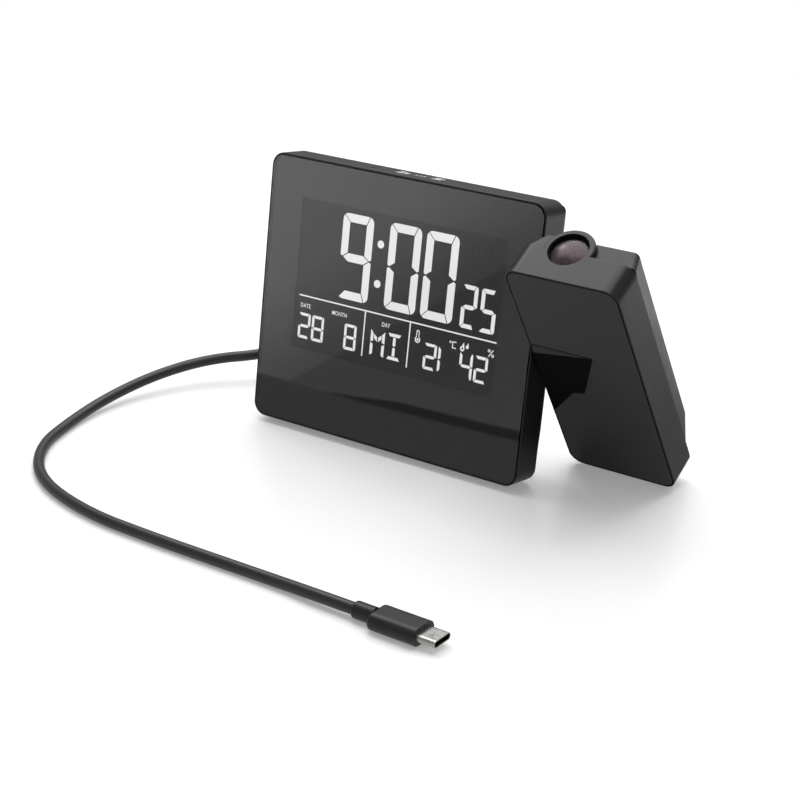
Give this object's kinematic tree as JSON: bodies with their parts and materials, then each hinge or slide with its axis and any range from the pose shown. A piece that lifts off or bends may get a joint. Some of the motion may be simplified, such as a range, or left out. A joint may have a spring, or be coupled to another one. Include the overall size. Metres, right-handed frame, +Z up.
{
  "type": "projection alarm clock",
  "caption": "Table alarm clock with a leaning display case, a projector arm on a friction hinge and a charging cable.",
  "frame": {"origin": "middle of the clock's footprint, on the table, without its cable", "axes": "+X from the display case towards the projector arm, +Y to the back, +Z up"},
  "size_m": [0.2092, 0.1995, 0.0982],
  "materials": {
    "case_plastic": "fine satin texture",
    "clear_acrylic": "polished smoke acrylic",
    "black_acrylic": "polished black acrylic",
    "mask_print": "flat black print",
    "display_glass": "polished",
    "light_guide": "clear acrylic",
    "white_plastic": "moulded",
    "dark_rubber": "matt",
    "circuit_board": "solder resist",
    "chip_plastic": "moulded epoxy",
    "tinned_steel": "tinned",
    "cell_sleeve": "printed sleeve",
    "key_plastic": "satin",
    "black_screw": "black oxide",
    "wire_sleeve": "soft PVC",
    "lens_glass": "polished",
    "barrel_plastic": "moulded",
    "red_lamp": "clear epoxy",
    "cable_jacket": "soft matt jacket",
    "plug_plastic": "moulded soft plastic"
  },
  "bodies": {
    "root": {"front_panel": "clear_acrylic", "panel_mask": "mask_print", "case_front": "case_plastic", "lcd_front_glass": "display_glass", "lcd_rear_glass": "display_glass", "backlight_guide": "light_guide", "backlight_tray": "white_plastic", "backlight_leds": "white_plastic", "contact_strip": "dark_rubber", "main_board": "circuit_board", "board_parts": "chip_plastic", "tact_switches": "chip_plastic", "buzzer": "chip_plastic", "usb_socket": "tinned_steel", "usb_tongue": "chip_plastic", "power_inlet": "chip_plastic", "rear_cover": "case_plastic", "battery_cells": "cell_sleeve", "battery_contacts": "tinned_steel", "case_feet": "dark_rubber", "case_screws": "black_screw", "board_screws": "tinned_steel", "case_wires": "wire_sleeve", "case_wire_plug": "white_plastic", "usb_a_shell": "tinned_steel", "usb_a_tongue": "chip_plastic", "usb_a_grip": "plug_plastic", "usb_a_relief": "plug_plastic", "usb_cable": "cable_jacket", "usb_c_relief": "plug_plastic", "usb_c_grip": "plug_plastic", "usb_c_shell": "tinned_steel"},
    "arm": {"arm_panel": "black_acrylic", "arm_case": "case_plastic", "arm_cover": "case_plastic", "arm_foot": "dark_rubber", "arm_screws": "black_screw", "projection_lens": "lens_glass", "lens_barrel": "barrel_plastic", "lamp_housing": "barrel_plastic", "projection_lamp": "red_lamp", "slide_display": "display_glass", "condenser_lens": "lens_glass", "arm_board": "circuit_board", "arm_board_parts": "chip_plastic", "arm_board_screws": "tinned_steel", "arm_wire_plug": "white_plastic", "arm_wires": "wire_sleeve", "hinge_shaft": "tinned_steel", "hinge_clip": "tinned_steel", "hinge_washer": "tinned_steel"},
    "time_button_body": {"time_button": "key_plastic"},
    "alarm_button_body": {"alarm_button": "key_plastic"},
    "down_button_body": {"down_button": "key_plastic"},
    "up_button_body": {"up_button": "key_plastic"},
    "unit_button_body": {"unit_button": "key_plastic"},
    "projection_button_body": {"projection_button": "key_plastic"},
    "snooze_key_body": {"snooze_key": "key_plastic"},
    "battery_door_body": {"battery_door": "case_plastic"}
  },
  "joints": [
    {"name": "arm_hinge", "type": "hinge", "parent": "root", "child": "arm", "pos_m": [0.03655, 0.00422, 0.05196], "axis": [1, 0, 0], "range_deg": [-129.2, 50.8]},
    {"name": "time_press", "type": "slide", "parent": "root", "child": "time_button_body", "axis": [0, -0.987, 0.1606], "range_m": [0, 0.0005], "stiffness_N_per_m": 600, "springref_m": -0.0005},
    {"name": "alarm_press", "type": "slide", "parent": "root", "child": "alarm_button_body", "axis": [0, -0.987, 0.1606], "range_m": [0, 0.0005], "stiffness_N_per_m": 600, "springref_m": -0.0005},
    {"name": "down_press", "type": "slide", "parent": "root", "child": "down_button_body", "axis": [0, -0.987, 0.1606], "range_m": [0, 0.0005], "stiffness_N_per_m": 600, "springref_m": -0.0005},
    {"name": "up_press", "type": "slide", "parent": "root", "child": "up_button_body", "axis": [0, -0.987, 0.1606], "range_m": [0, 0.0005], "stiffness_N_per_m": 600, "springref_m": -0.0005},
    {"name": "unit_press", "type": "slide", "parent": "root", "child": "unit_button_body", "axis": [0, -0.987, 0.1606], "range_m": [0, 0.0005], "stiffness_N_per_m": 600, "springref_m": -0.0005},
    {"name": "projection_press", "type": "slide", "parent": "root", "child": "projection_button_body", "axis": [0, -0.987, 0.1606], "range_m": [0, 0.0005], "stiffness_N_per_m": 600, "springref_m": -0.0005},
    {"name": "snooze_press", "type": "slide", "parent": "root", "child": "snooze_key_body", "axis": [0, -0.1606, -0.987], "range_m": [0, 0.0006], "stiffness_N_per_m": 600, "springref_m": -0.0006},
    {"name": "door_pull", "type": "slide", "parent": "root", "child": "battery_door_body", "axis": [0, 0.987, -0.1606], "range_m": [0, 0.012]}
  ]
}
